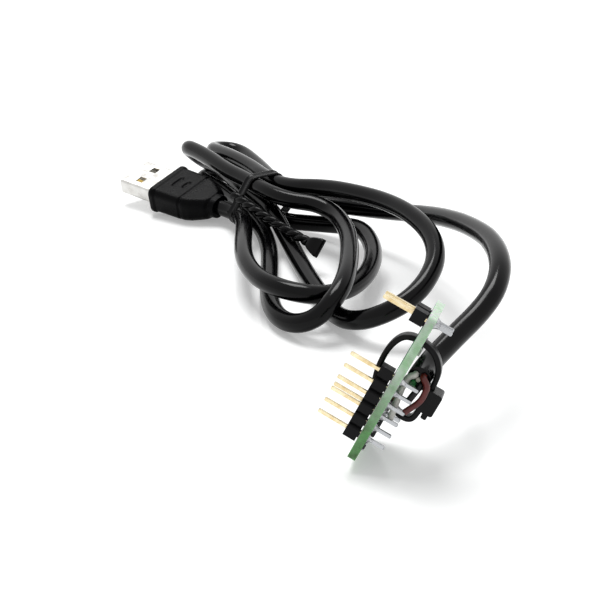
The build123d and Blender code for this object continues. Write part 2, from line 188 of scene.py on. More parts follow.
@dataclass(frozen=True)
class Finish:
    """A real material and how its surface was made.

    Patches are the slow change of colour and gloss over a surface, and grain is its fine relief. Both are
    given as real sizes in millimetres.
    """

    name: str
    colour: str
    shade: str
    roughness: float
    spread: float = 0.05
    metallic: float = 0.0
    ior: float = 1.5
    specular: float = 0.5
    patch: float = 3.0
    grain: float = 0.12
    relief: float = 0.15
    kind: Grain = Grain.MOULDED
    clear: float = 0.0
    glow: float = 0.0

    def build(self) -> Material:
        """Make the material once, and reuse it after that."""
        known = bpy.data.materials.get(self.name)
        if known:
            return known
        material = bpy.data.materials.new(self.name)
        material.use_nodes = True
        tree = material.node_tree
        shader = tree.nodes["Principled BSDF"]
        colour, gloss, height = self.pattern(tree)
        tree.links.new(colour, shader.inputs["Base Color"])
        tree.links.new(gloss, shader.inputs["Roughness"])
        bump = add_node(
            tree, "ShaderNodeBump", {"Height": height, "Strength": self.relief, "Distance": self.grain * MM}
        )
        tree.links.new(bump.outputs["Normal"], shader.inputs["Normal"])
        shader.inputs["Metallic"].default_value = self.metallic
        if not self.metallic:
            shader.inputs["IOR"].default_value = self.ior
            shader.inputs["Specular IOR Level"].default_value = self.specular
        shader.inputs["Transmission Weight"].default_value = self.clear
        if self.glow:
            shader.inputs["Subsurface Weight"].default_value = self.glow
            shader.inputs["Subsurface Radius"].default_value = (0.35, 1.0, 0.4)
            shader.inputs["Subsurface Scale"].default_value = 2.0 * MM
        return material

    def pattern(self, tree: NodeTree) -> tuple[NodeSocket, ...]:
        """Make the sockets of the colour, the roughness and the height.

        Args:
            tree: the material's node tree.

        Returns:
            The three output sockets.
        """
        place = add_node(tree, "ShaderNodeTexCoord").outputs["Object"]
        patches = noise(tree, place, 1 / (self.patch * MM), 4.0)
        colour = mix(tree, remap(tree, patches, (0.32, 0.68)), linear(self.shade), linear(self.colour))
        low, high = max(0.02, self.roughness - self.spread), self.roughness + self.spread
        return colour, remap(tree, patches, (0.3, 0.7), (low, high)), self.height(tree, place)

    def height(self, tree: NodeTree, place: NodeSocket) -> NodeSocket:
        """Make the fine relief of the way that the surface was made.

        Args:
            tree: the material's node tree.
            place: the coordinates that the pattern follows.

        Returns:
            The socket of the height.
        """
        scale = 1 / (self.grain * MM)
        if self.kind is Grain.BRUSHED:
            stretched = add_node(tree, "ShaderNodeMapping", {"Vector": place, "Scale": (0.08, 0.08, 1.0)})
            return noise(tree, stretched.outputs[0], scale)
        if self.kind is Grain.WOVEN:
            waves = [
                add_node(
                    tree, "ShaderNodeTexWave", {"Vector": place, "Scale": scale / 3}, bands_direction=axis
                )
                for axis in ("Y", "Z")
            ]
            return maths(tree, "MAXIMUM", *(wave.outputs["Fac"] for wave in waves))
        if self.kind is Grain.SPARKED:
            cells = add_node(tree, "ShaderNodeTexVoronoi", {"Vector": place, "Scale": scale})
            return cells.outputs["Distance"]
        return noise(tree, place, scale)


# Soft PVC, extruded over the conductors: black with a grey satin sheen, faintly uneven along its length.
CABLE_PVC = Finish(
    "soft_pvc_extruded", "#030304", "#010102", 0.16, 0.04, specular=0.14, patch=6.0, grain=0.5, relief=0.03
)
# PVC moulded against a spark-eroded tool: the plug's grip is a dull black with a fine, even tooth.
GRIP_PVC = Finish(
    "pvc_moulded_spark_texture", "#030304", "#010102", 0.3, 0.06, specular=0.05, grain=0.16, relief=0.25,
    kind=Grain.SPARKED,
)
# Nylon 66, injection moulded: the strap is a deep black with a soft shine.
STRAP_NYLON = Finish(
    "nylon_66_moulded", "#0b0b0d", "#060607", 0.3, 0.06, ior=1.53, specular=0.14, grain=0.2, relief=0.12
)
# Glass-filled polyester, moulded: the header bodies are a flat black with lighter scuffs.
HEADER_PBT = Finish(
    "pbt_glass_filled_moulded", "#0c0c0e", "#070708", 0.4, 0.08, ior=1.57, specular=0.12, patch=1.2, grain=0.1
)
# Epoxy moulding compound, laser marked and matte: the chip is a charcoal grey.
CHIP_EPOXY = Finish(
    "epoxy_moulding_compound", "#242426", "#1b1b1d", 0.55, 0.06, patch=1.5, grain=0.06, kind=Grain.SPARKED
)
# Tin, reflowed from solder paste: bright and slightly dimpled.
SOLDER_TIN = Finish(
    "tin_solder_reflowed", "#c6c7c9", "#8a8c90", 0.2, 0.08, metallic=1.0, patch=0.5, grain=0.3, relief=0.35
)
# Steel sheet, folded and nickel plated: a bright, faintly warm mirror with drawn lines.
SHELL_NICKEL = Finish(
    "steel_nickel_plated", "#d8d7d4", "#c4c2be", 0.3, 0.06, metallic=1.0, grain=0.2, relief=0.05,
    kind=Grain.BRUSHED,
)
# Phosphor bronze, gold flashed: the plug's contacts.
CONTACT_GOLD = Finish(
    "phosphor_bronze_gold_flashed", "#f0cf7c", "#dcb75e", 0.22, 0.05, metallic=1.0, patch=0.8, grain=0.1
)
# Nylon, moulded in natural white: the tongue inside the shell.
TONGUE_NYLON = Finish("nylon_natural_moulded", "#f1f0ea", "#e4e2da", 0.45, 0.06, patch=2.0, grain=0.15)
# PVC insulation, extruded thin over copper strands.
RED_INSULATION = Finish("pvc_insulation_red", "#6b1d19", "#4a1210", 0.36, patch=1.0, grain=0.12)
BLACK_INSULATION = Finish(
    "pvc_insulation_black", "#0f0f10", "#080809", 0.34, specular=0.3, patch=1.0, grain=0.12
)
GREEN_INSULATION = Finish("pvc_insulation_green", "#1f7a3a", "#15602b", 0.38, patch=1.0, grain=0.12)
WHITE_INSULATION = Finish("pvc_insulation_white", "#f0efe9", "#dddbd2", 0.4, patch=1.0, grain=0.12)
# Polypropylene filler yarn, twisted: off-white and fibrous.
FILLER_YARN = Finish(
    "polypropylene_filler_yarn", "#e6e2d6", "#cfc9b9", 0.7, patch=0.5, grain=0.1, relief=0.5, kind=Grain.WOVEN
)
# Steel wire in a flat PVC ribbon: the tie of the hank, a shinier black than the cable.
TIE_RIBBON = Finish(
    "pvc_ribbon_over_wire", "#050506", "#020203", 0.22, 0.06, specular=0.1, patch=1.5, grain=0.25, relief=0.15
)
# Barium titanate with tinned ends: the small capacitors are a fired tan.
CAPACITOR_CERAMIC = Finish("ceramic_fired_tan", "#b79a72", "#9c8058", 0.5, patch=0.6, grain=0.06)
# Thick film on alumina, glazed black: the small resistors.
RESISTOR_GLAZE = Finish("resistor_glaze_black", "#1d1e22", "#141518", 0.28, patch=0.6, grain=0.08)
# Clear epoxy, cast: the status lamp.
LAMP_EPOXY = Finish("epoxy_cast_clear", "#e2eee0", "#cfe3cc", 0.12, 0.03, patch=1.0, grain=0.1, clear=0.5)
# Steel can, nickel plated and brushed: the crystal's lid.
CRYSTAL_CAN = Finish(
    "crystal_lid_brushed", "#d9d7d2", "#c2c0ba", 0.3, 0.05, metallic=1.0, grain=0.1, kind=Grain.BRUSHED
)
# White epoxy ink, screen printed on the board: matte, with thin edges.
BOARD_INK = Finish("epoxy_ink_printed", "#f2f3ee", "#dfe2da", 0.6, patch=0.4, grain=0.06)


@dataclass(frozen=True)
class Frame3:
    """A place with three directions, which turns its own millimetres to the part's metres."""

    origin: Vector
    first: Vector
    second: Vector
    third: Vector

    def at(self, x: float, y: float, z: float) -> Vector:
        """Give the point at these local millimetres, in the part's metres."""
        return self.origin + (self.first * x + self.second * y + self.third * z) * MM


def middle(node: str) -> Vector:
    """Give the centre of a node's box."""
    low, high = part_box(node)
    return (Vector(low) + Vector(high)) / 2


# ---------------------------------------------------------------- meshes


def round_rectangle(width: float, height: float, radius: float, steps: int = 5) -> list[Pair]:
    """Give the outline of a rectangle with round corners, counterclockwise.

    Args:
        width: full width.
        height: full height.
        radius: corner radius.
        steps: points on each corner, less one.

    Returns:
        The outline's points.
    """
    outline = []
    for quarter, (sx, sy) in enumerate(((1, 1), (-1, 1), (-1, -1), (1, -1))):
        for i in range(steps + 1):
            angle = math.radians(90 * quarter + 90 * i / steps)
            x = sx * (width / 2 - radius) + radius * math.cos(angle)
            y = sy * (height / 2 - radius) + radius * math.sin(angle)
            outline.append((x, y))
    return outline


def skin(mesh: BMesh, rings: Sequence[Sequence[Vector]], loop: bool = False) -> None:
    """Join rings of points by quads, and close the two ends unless it is a loop.

    Args:
        mesh: the mesh to add to.
        rings: rings with as many points each.
        loop: whether the last ring joins the first.
    """
    made = [[mesh.verts.new(point) for point in ring] for ring in rings]
    spans = list(zip(made, made[1:])) + ([(made[-1], made[0])] if loop else [])
    count = len(made[0])
    for one, two in spans:
        for i in range(count):
            mesh.faces.new((one[i], one[(i + 1) % count], two[(i + 1) % count], two[i]))
    if not loop:
        mesh.faces.new(list(reversed(made[0])))
        mesh.faces.new(made[-1])


def spline_points(points: Iterable[Vector], closed: bool = False, steps: int = 10) -> list[Vector]:
    """Read the points of a smooth NURBS spline.

    Args:
        points: its control points.
        closed: whether it is a ring.
        steps: points for each control point.

    Returns:
        The points along it.
    """
    curve = make_spline("spline_probe", list(points), closed, steps)
    probe = add_object("spline_probe", curve)
    mesh = plain_mesh(probe)
    found = [vertex.co.copy() for vertex in mesh.vertices]
    bpy.data.objects.remove(probe)
    bpy.data.meshes.remove(mesh)
    bpy.data.curves.remove(curve)
    return found


def make_spline(name: str, points: list[Vector], closed: bool, steps: int) -> Curve:
    """Make a curve of one NURBS spline.

    Args:
        name: the curve's name.
        points: its control points.
        closed: whether it is a ring.
        steps: its resolution.

    Returns:
        The curve.
    """
    curve = bpy.data.curves.new(name, "CURVE")
    curve.dimensions = "3D"
    spline = curve.splines.new("NURBS")
    spline.points.add(len(points) - 1)
    for control, point in zip(spline.points, points):
        control.co = (*point, 1.0)
    spline.order_u = 3
    spline.use_cyclic_u = closed
    spline.use_endpoint_u = not closed
    spline.resolution_u = steps
    return curve


def finish_mesh(mesh: BMesh, name: str) -> Mesh:
    """Merge doubles, turn the faces outwards and store the mesh.

    Args:
        mesh: the mesh, which is freed.
        name: its name.

    Returns:
        The stored mesh.
    """
    bmesh.ops.remove_doubles(mesh, verts=mesh.verts, dist=MERGE)
    bmesh.ops.recalc_face_normals(mesh, faces=mesh.faces)
    data = bpy.data.meshes.new(name)
    mesh.to_mesh(data)
    mesh.free()
    return data


def outsides(line: Sequence[Vector]) -> list[Vector]:
    """Give the side to the right of a closed flat line, at each of its points."""
    count = len(line)
    aheads = [(line[(i + 1) % count] - line[i - 1]).normalized() for i in range(count)]
    return [Vector((ahead.y, -ahead.x)) for ahead in aheads]


def add_object(name: str, data: ID) -> Object:
    """Make an object of a mesh, curve, light or camera, and put it in the scene."""
    obj = bpy.data.objects.new(name, data)
    bpy.context.scene.collection.objects.link(obj)
    return obj


def plain_mesh(obj: Object) -> Mesh:
    """Give an object's mesh as its modifiers or its curve make it."""
    return bpy.data.meshes.new_from_object(obj.evaluated_get(bpy.context.evaluated_depsgraph_get()))


@dataclass
class Workshop:
    """Makes pieces, dresses them and reports each one."""

    body: str
    made: list[Object] = field(default_factory=list)

    def piece(
        self,
        name: str,
        data: Mesh | Curve,
        finish: Finish | Material,
        slot: str,
        stands_for: Sequence[str] = (),
        smooth: float = 35.0,
    ) -> Object:
        """Make a piece of a mesh or a curve.

        Args:
            name: the piece's name.
            data: its mesh or curve.
            finish: its finish.
            slot: the record's material slot; not used.
            stands_for: the CAD nodes that it stands for.
            smooth: the angle in degrees under which edges are smooth.

        Returns:
            The new object.
        """
        obj = add_object(name, data)
        data.materials.clear()
        data.materials.append(finish.build() if isinstance(finish, Finish) else finish)
        if isinstance(data, Mesh):
            data.shade_smooth()
            data.set_sharp_from_angle(angle=math.radians(smooth))
        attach(obj, self.body)
        if stands_for:
            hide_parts(*stands_for)
        self.made.append(obj)
        log.info("piece %s stands for %s", name, ", ".join(stands_for) or "nothing in CAD")
        return obj

    def skinned(
        self,
        name: str,
        rings: Sequence[Sequence[Vector]],
        finish: Finish,
        slot: str,
        node: str,
        loop: bool = False,
        smooth: float = 35.0,
    ) -> Object:
        """Make a piece of rings of points, which stands for one CAD node.

        Args:
            name: the piece's name.
            rings: rings with as many points each.
            finish: its finish.
            slot: the record's material slot.
            node: the CAD node that it stands for.
            loop: whether the last ring joins the first.
            smooth: the angle in degrees under which edges are smooth.

        Returns:
            The new object.
        """
        mesh = bmesh.new()
        skin(mesh, rings, loop)
        return self.piece(name, finish_mesh(mesh, name), finish, slot, (node,), smooth)

    def dress(self, node: str, finish: Finish | Material) -> Object:
        """Give a CAD node its finish.

        Args:
            node: the node's name.
            finish: its finish.

        Returns:
            The node's object.
        """
        obj = bpy.data.objects[node]
        material = finish.build() if isinstance(finish, Finish) else finish
        for place in obj.material_slots:
            place.material = material
        log.info("node %s is dressed in %s", node, material.name)
        return obj

    def repeat(self, name: str, seed: Mesh, places: Sequence[Frame3], finish: Finish) -> Mesh:
        """Repeat a small mesh at places, by a node tree.

        Args:
            name: name of the tree and the mesh.
            seed: the mesh that repeats, in metres about its own origin.
            places: where each copy goes, and which way it is turned.
            finish: the finish of all the copies.

        Returns:
            One plain mesh of all the copies.
        """
        carrier = bpy.data.meshes.new(name + "_points")
        carrier.from_pydata([place.origin for place in places], [], [])
        for label, pick in (("along", "first"), ("out", "third")):
            layer = carrier.attributes.new(label, "FLOAT_VECTOR", "POINT")
            layer.data.foreach_set("vector", [c for place in places for c in getattr(place, pick)])
        holder = add_object(name + "_holder", carrier)
        pattern = add_object(name + "_seed", seed)
        tree, sockets = self.repeat_tree(name)
        modifier = holder.modifiers.new(name, "NODES")
        modifier.node_group = tree
        modifier[sockets["Seed Shape"]] = pattern
        modifier[sockets["Finish"]] = finish.build()
        bpy.context.view_layer.update()
        plain = plain_mesh(holder)
        plain.name = name
        holder.modifiers.remove(modifier)
        for obj in (holder, pattern):
            bpy.data.objects.remove(obj)
        return plain

    @staticmethod
    def repeat_tree(name: str) -> tuple[NodeTree, dict[str, str]]:
        """Build the tree that puts one copy of a shape on each point.

        Args:
            name: the tree's name.

        Returns:
            The tree, and each named input's identifier.
        """
        tree = bpy.data.node_groups.new(name, "GeometryNodeTree")
        face = tree.interface
        face.new_socket("Geometry", in_out="INPUT", socket_type="NodeSocketGeometry")
        kinds = {"Seed Shape": "NodeSocketObject", "Finish": "NodeSocketMaterial"}
        sockets = {
            label: face.new_socket(label, in_out="INPUT", socket_type=kind).identifier
            for label, kind in kinds.items()
        }
        face.new_socket("Geometry", in_out="OUTPUT", socket_type="NodeSocketGeometry")
        source = add_node(tree, "NodeGroupInput")
        kind = "FLOAT_VECTOR"
        out, along = (
            add_node(tree, "GeometryNodeInputNamedAttribute", {"Name": label}, data_type=kind).outputs[0]
            for label in ("out", "along")
        )
        turned = add_node(
            tree, "FunctionNodeAxesToRotation", {0: out, 1: along}, primary_axis="Z", secondary_axis="X"
        )
        shape = add_node(tree, "GeometryNodeObjectInfo", {"Object": source.outputs["Seed Shape"]})
        copies = add_node(
            tree,
            "GeometryNodeInstanceOnPoints",
            {
                "Points": source.outputs["Geometry"],
                "Instance": shape.outputs["Geometry"],
                "Rotation": turned.outputs[0],
            },
        )
        real = add_node(tree, "GeometryNodeRealizeInstances", {0: copies.outputs[0]})
        cover = {"Geometry": real.outputs[0], "Material": source.outputs["Finish"]}
        clad = add_node(tree, "GeometryNodeSetMaterial", cover)
        add_node(tree, "NodeGroupOutput", {0: clad.outputs[0]})
        return tree, sockets


# ---------------------------------------------------------------- finishes that follow a piece's shape


@dataclass(frozen=True)
class TinnedGold(Finish):
    """Square pins of gold-flashed brass, whose tails on the far side of the board are wetted with tin.

    The change is a plane across the pins, given by a direction and how far along it the tin begins.
    """

    towards: Triple = (0.0, 0.0, 1.0)
    limit: float = 0.0
    blur: float = 0.1
    tin: str = "#b2b4b7"

    def pattern(self, tree: NodeTree) -> tuple[NodeSocket, ...]:
        """Make the sockets, with tin on one side of the plane.

        Args:
            tree: the material's node tree.

        Returns:
            The sockets of the colour, the roughness and the height.
        """
        colour, gloss, height = super().pattern(tree)
        place = add_node(tree, "ShaderNodeTexCoord").outputs["Object"]
        share = remap(
            tree, dot(tree, place, self.towards), (self.limit - self.blur * MM, self.limit + self.blur * MM)
        )
        return mix(tree, share, linear(self.tin), colour), gloss, height


@dataclass(frozen=True)
class Laminate(Finish):
    """Glass-epoxy laminate: green mask on its two faces, and a pale cut edge where the glass shows.

    The mask is shade to colour, and the edge is sawn, so it is paler and shows the glass layers. On top of
    that, painted shade darkens the cut edge towards the board's foot, so that it is palest at the top.
    """

    face: Triple = (0.0, 0.0, 1.0)
    up: Triple = (0.0, 0.0, 1.0)
    foot: float = 0.0
    edge: str = "#dcefdd"
    edge_shade: str = "#a9cfa6"
    # Painted shade: low and low_shade are the cut edge's darker green tones at the board's foot.
    low: str = "#74b36e"
    low_shade: str = "#3a6228"
    layer: float = 0.2
    cloud: float = 2.2
    # Millimetres above the foot over which the painted shade fades into the pale edge tones.
    change: Pair = (6.0, 19.0)

    def pattern(self, tree: NodeTree) -> tuple[NodeSocket, ...]:
        """Make the sockets, with the cut edge where the surface turns from the faces.

        Args:
            tree: the material's node tree.

        Returns:
            The sockets of the colour, the roughness and the height.
        """
        mask, gloss, height = super().pattern(tree)
        place = add_node(tree, "ShaderNodeTexCoord").outputs["Object"]
        normal = add_node(tree, "ShaderNodeNewGeometry").outputs["True Normal"]
        share = maths(tree, "GREATER_THAN", maths(tree, "ABSOLUTE", dot(tree, normal, self.face)), 0.8)
        depth = maths(tree, "MULTIPLY", dot(tree, place, self.face), 2 * math.pi / (self.layer * MM))
        cloud = noise(tree, place, 1 / (self.cloud * MM))
        blend = maths(tree, "MULTIPLY_ADD", maths(tree, "SINE", depth), 0.12, cloud)
        pale = remap(tree, blend, (0.25, 0.6))
        tones = [
            mix(tree, pale, linear(shade), linear(colour))
            for shade, colour in ((self.low_shade, self.low), (self.edge_shade, self.edge))
        ]
        # Painted shade on the cut edge: dark green tones at the foot grade into the pale edge tones higher up
        # the board.
        low, high = (self.foot + height * MM for height in self.change)
        edge = mix(tree, remap(tree, dot(tree, place, self.up), (low, high)), *tones)
        return mix(tree, share, edge, mask), gloss, height


# ---------------------------------------------------------------- studio


@dataclass
class Studio:
    """The camera, the lamps and the floor."""

    eye: Triple = (31.90, -204.47, 122.96)
    tilt: float = 66.0
    turn: float = 13.33
    lens: float = 75.8
    floor_size: float = 6.0
    floor_glow: float = 0.3
    floor_roughness: float = 0.18
    sky: float = 0.4
    lamp_at: Triple = (-0.3, 0.5, 1.2)
    lamp_size: float = 0.6
    lamp_power: float = 14.0

    def build(self) -> None:
        """Make the camera, lamps, world and floor."""
        scene = bpy.context.scene
        scene.view_settings.view_transform = "Standard"
        camera = bpy.data.cameras.new("camera")
        camera.lens = self.lens
        camera.clip_start = 0.005
        camera.clip_end = 20.0
        holder = add_object("camera", camera)
        holder.location = Vector(self.eye) * MM
        holder.rotation_euler = (math.radians(self.tilt), 0.0, math.radians(self.turn))
        scene.camera = holder
        self.lamp()
        self.world()
        self.floor()

    def lamp(self) -> None:
        """Hang the broad soft lamp, nearly overhead."""
        light = bpy.data.lights.new("softbox", "AREA")
        light.shape = "SQUARE"
        light.size = self.lamp_size
        light.energy = self.lamp_power
        holder = add_object("softbox", light)
        holder.location = self.lamp_at
        holder.rotation_euler = (-Vector(self.lamp_at)).to_track_quat("-Z", "Y").to_euler()

    def world(self) -> None:
        """Light the surroundings, which look white directly, in reflections and through clear pieces.

        What lights the object is dimmer, so that the shadows and the blacks stay deep.
        """
        world = bpy.data.worlds.new("studio")
        world.use_nodes = True
        bpy.context.scene.world = world
        tree = world.node_tree
        back = tree.nodes["Background"]
        back.inputs["Color"].default_value = (1.0, 1.0, 1.0, 1.0)
        level = remap(tree, self.seen(tree), (0.0, 1.0), (self.sky, 1.0))
        tree.links.new(level, back.inputs["Strength"])

    @staticmethod
    def seen(tree: NodeTree) -> NodeSocket:
        """Tell the rays that look at the backdrop from those that light the object.

        Args:
            tree: the tree to add to.

        Returns:
            A socket, one for camera, glossy and transmission rays.
        """
        path = add_node(tree, "ShaderNodeLightPath").outputs
        seen = maths(tree, "MAXIMUM", path["Is Camera Ray"], path["Is Glossy Ray"])
        return maths(tree, "MAXIMUM", seen, path["Is Transmission Ray"])

    def floor(self) -> None:
        """Lay the white floor, which keeps the object's shadow."""
        mesh = bmesh.new()
        bmesh.ops.create_grid(mesh, x_segments=1, y_segments=1, size=self.floor_size / 2)
        ground = add_object("floor", finish_mesh(mesh, "floor"))
        material = bpy.data.materials.new("floor_sweep_white")
        material.use_nodes = True
        tree = material.node_tree
        shader = tree.nodes["Principled BSDF"]
        shader.inputs["Base Color"].default_value = linear("#f2f3f3")
        shader.inputs["Roughness"].default_value = self.floor_roughness
        shader.inputs["Emission Color"].default_value = (1.0, 1.0, 1.0, 1.0)
        glow = maths(tree, "MULTIPLY", self.seen(tree), self.floor_glow)
        tree.links.new(glow, shader.inputs["Emission Strength"])
        ground.data.materials.append(material)


# ---------------------------------------------------------------- the board and what it carries


@dataclass
class BoardFrame:
    """The board's own place: along its length, across its width and out of its pin side."""

    length: float = 31.0
    width: float = 13.0
    thickness: float = 1.6
    lean: float = 25.5
    tip_back: float = 10.0
    pitch: float = 2.54
    row_start: float = 3.44
    row_line: float = 1.5
    row_pins: int = 6
    single_place: int = 2
    pair_line: float = 1.54

    def frame(self) -> Frame3:
        """Find the frame from the angles and the board's box."""
        a, b = math.radians(self.lean), math.radians(self.tip_back)
        up = Vector((math.sin(a), math.cos(a) * math.sin(b), math.cos(a) * math.cos(b)))
        face = Vector((-math.cos(a), math.sin(a) * math.sin(b), math.sin(a) * math.cos(b)))
        across = Vector((0.0, math.cos(b), -math.sin(b)))
        offset = up * self.length / 2 + across * self.width / 2 - face * self.thickness / 2
        return Frame3(middle("pcb") - offset * MM, up, across, face)

    def pin_places(self) -> list[Pair]:
        """Give the station and line of every pin."""
        stations = [self.row_start + self.pitch * (i + 0.5) for i in range(self.row_pins)]
        single = (stations[self.single_place], self.row_line + self.pitch)
        pair = [(self.length - self.pitch / 2, self.pair_line + self.pitch * i) for i in range(2)]
        return [(station, self.row_line) for station in stations] + [single] + pair


@dataclass
class Board:
    """The bare board, its printed lines and its copper tracks, and the solder on its far side."""

    shop: Workshop
    place: BoardFrame
    track_height: float = 0.05
    joint_radius: float = 0.85
    joint_tip: float = 0.42
    joint_height: float = 1.0

    def build(self) -> None:
        """Dress the board and add its tracks, ink and joints."""
        base = self.place.frame()
        # FR-4 laminate, masked and routed: green faces, and pale edges where the cut glass shows, with painted
        # shade darkening the edges towards the foot.
        laminate = Laminate(
            "glass_epoxy_masked_routed", "#1f7d46", "#176a3a", 0.3, patch=4.0, grain=0.15, relief=0.08,
            glow=0.6, face=tuple(base.third), up=tuple(base.first), foot=base.origin.dot(base.first),
        )
        self.shop.dress("pcb", laminate)
        self.shop.dress("solder_pads", SOLDER_TIN)
        self.tracks(base)
        self.ink(base)
        self.joints(base)

    def strip(self, mesh: BMesh, base: Frame3, line: Sequence[Pair], width: float, side: int) -> None:
        """Lay one flat strip on a face of the board.

        Args:
            mesh: the mesh to add to.
            base: the board's frame.
            line: its corners, station and line.
            width: its width.
            side: one for the pin side, minus one for the far side.
        """
        low = 0.0 if side > 0 else -self.place.thickness
        top = low + side * self.track_height
        for one, two in zip(line, line[1:]):
            run = Vector((two[0] - one[0], two[1] - one[1])).normalized() * width / 2
            square = (-run.y, run.x)
            rings = []
            for height in (low, top):
                rings.append(
                    [
                        base.at(x + e * run.x + s * square[0], y + e * run.y + s * square[1], height)
                        for (x, y), e, s in ((one, -1, -1), (two, 1, -1), (two, 1, 1), (one, -1, 1))
                    ]
                )
            skin(mesh, rings)

    def tracks(self, base: Frame3) -> None:
        """Lay the copper tracks under the mask, on both faces."""
        mesh = bmesh.new()
        near = [
            [(4.7, 2.6), (4.7, 5.2), (6.3, 6.8), (6.3, 12.0), (20.0, 12.0), (22.4, 9.6), (28.0, 9.6)],
            [(7.25, 2.6), (7.25, 4.6), (8.4, 5.8), (8.4, 10.6), (19.0, 10.6)],
            [(12.3, 2.6), (12.3, 5.0), (13.6, 6.3), (19.8, 6.3), (22.0, 4.1), (28.6, 4.1)],
            [(28.6, 1.5), (21.0, 1.5)],
            [(17.4, 2.6), (17.4, 4.2), (18.2, 5.0)],
        ]
        far = [
            [(4.7, 2.6), (4.7, 6.4)],
            [(7.25, 2.6), (7.25, 5.2), (6.4, 6.1)],
            [(8.6, 10.4), (11.8, 10.4)],
            [(8.6, 9.0), (10.6, 9.0)],
            [(2.0, 5.8), (2.0, 9.0)],
            [(15.2, 12.2), (22.0, 12.2)],
            [(28.6, 4.1), (26.6, 6.1), (26.6, 10.4), (24.2, 10.4)],
        ]
        for line in near:
            self.strip(mesh, base, line, 0.35, 1)
        for line in far:
            self.strip(mesh, base, line, 0.45, -1)
        # Copper under the mask: the same green, lighter and glossier over the metal.
        masked = Finish("mask_over_copper", "#3a9a5c", "#2f8a50", 0.26, patch=2.0, grain=0.12, relief=0.05)
        self.shop.piece("board_tracks", finish_mesh(mesh, "board_tracks"), masked, "board")

    def ink(self, base: Frame3) -> None:
        """Print the outlines of the chip, the crystal and the row of pins."""
        mesh = bmesh.new()
        boxes = [(2.0, 6.1, 9.2, 12.8, -1), (11.5, 9.5, 15.3, 12.5, -1), (3.2, 0.12, 18.9, 2.9, 1)]
        for x0, y0, x1, y1, side in boxes:
            self.strip(mesh, base, [(x0, y0), (x1, y0), (x1, y1), (x0, y1), (x0, y0)], 0.15, side)
        self.shop.piece("board_ink", finish_mesh(mesh, "board_ink"), BOARD_INK, "ceramic")

    def joints(self, base: Frame3) -> None:
        """Set a concave solder cone round each tail."""
        seed = bmesh.new()
        steps, count = 8, 20
        rings = []
        for i in range(steps + 1):
            t = i / steps
            radius = self.joint_tip + (self.joint_radius - self.joint_tip) * (1 - t) ** 2.2
            rings.append(self.ring(radius, t * self.joint_height, count))
        rings.append(self.ring(self.joint_tip * 0.7, self.joint_height + 0.06, count))
        skin(seed, rings)
        places = [
            Frame3(base.at(x, y, -self.place.thickness), base.first, base.second, -base.third)
            for x, y in self.place.pin_places()
        ]
        mesh = self.shop.repeat("solder_cones", finish_mesh(seed, "solder_seed"), places, SOLDER_TIN)
        self.shop.piece("solder_cones", mesh, SOLDER_TIN, "solder", ("solder_joints",), smooth=60.0)

    @staticmethod
    def ring(radius: float, height: float, count: int) -> list[Vector]:
        """Give a ring of points in metres, from sizes in millimetres."""
        angles = [2 * math.pi * i / count for i in range(count)]
        return [Vector((radius * math.cos(a), radius * math.sin(a), height)) * MM for a in angles]


@dataclass
class Headers:
    """The pin headers: their bodies, and pins that are gold on one side and tinned on the other."""

    shop: Workshop
    place: BoardFrame
    seam: float = 1.0

    def build(self) -> None:
        """Dress the bodies and the pins."""
        base = self.place.frame()
        limit = (base.origin - base.third * (self.place.thickness - self.seam) * MM).dot(base.third)
        # Brass, drawn square and gold flashed: pale gold, and silver where the solder has wetted it.
        pins = TinnedGold(
            "brass_gold_flashed_tinned", "#f8ecc8", "#dcc391", 0.22, 0.05, metallic=1.0, patch=1.2,
            grain=0.15, relief=0.1, towards=tuple(base.third), limit=limit,
        )
        for node in ("six_pin_header_body", "single_pin_body", "two_pin_header_body"):
            self.shop.dress(node, HEADER_PBT)
        for node in ("six_pin_header_pins", "single_pin", "two_pin_header_pins"):
            self.shop.dress(node, pins)


@dataclass
class SmallParts:
    """The chip, its leads, the crystal, the lamp, and the capacitors and resistors with their tinned ends."""

    shop: Workshop
    place: BoardFrame
    end: float = 0.32
    proud: float = 0.03
    resistor_size: Triple = (1.6, 0.8, 0.45)
    capacitor_size: Triple = (1.6, 0.8, 0.75)
    resistors: tuple[Pair, ...] = ((2.0, 4.2), (2.0, 5.5), (23.0, 10.4), (23.0, 11.7))
    capacitors: tuple[Pair, ...] = ((11.6, 8.95), (15.0, 8.95))

    def build(self) -> None:
        """Dress the large ones and build the small ones."""
        for node, finish in (
            ("microcontroller", CHIP_EPOXY), ("microcontroller_leads", SOLDER_TIN), ("crystal", CRYSTAL_CAN),
            ("status_lamp", LAMP_EPOXY), ("resistors", RESISTOR_GLAZE), ("capacitors", CAPACITOR_CERAMIC),
        ):
            self.shop.dress(node, finish)
        self.ends("resistor_ends", self.resistors, self.resistor_size)
        self.ends("capacitor_ends", self.capacitors, self.capacitor_size)

    def ends(self, name: str, centres: Sequence[Pair], size: Triple) -> None:
        """Wrap the two ends of each small part in tin.

        Args:
            name: the piece's name.
            centres: the centres of the small parts.
            size: length, width and height of one part.
        """
        base = self.place.frame()
        seed = bmesh.new()
        bmesh.ops.create_cube(seed, size=1.0)
        scale = (self.end * MM, (size[1] + 2 * self.proud) * MM, (size[2] + self.proud) * MM)
        bmesh.ops.scale(seed, vec=scale, verts=seed.verts)
        bmesh.ops.bevel(seed, geom=seed.edges[:], offset=0.05 * MM, segments=2, affect="EDGES", profile=0.5)
        reach = size[0] / 2 - self.end / 2 + self.proud
        depth = -self.place.thickness - (size[2] + self.proud) / 2
        places = [
            Frame3(base.at(x + side * reach, y, depth), base.first, base.second, base.third)
            for x, y in centres
            for side in (-1, 1)
        ]
        mesh = self.shop.repeat(name, finish_mesh(seed, name + "_seed"), places, SOLDER_TIN)
        self.shop.piece(name, mesh, SOLDER_TIN, "solder")


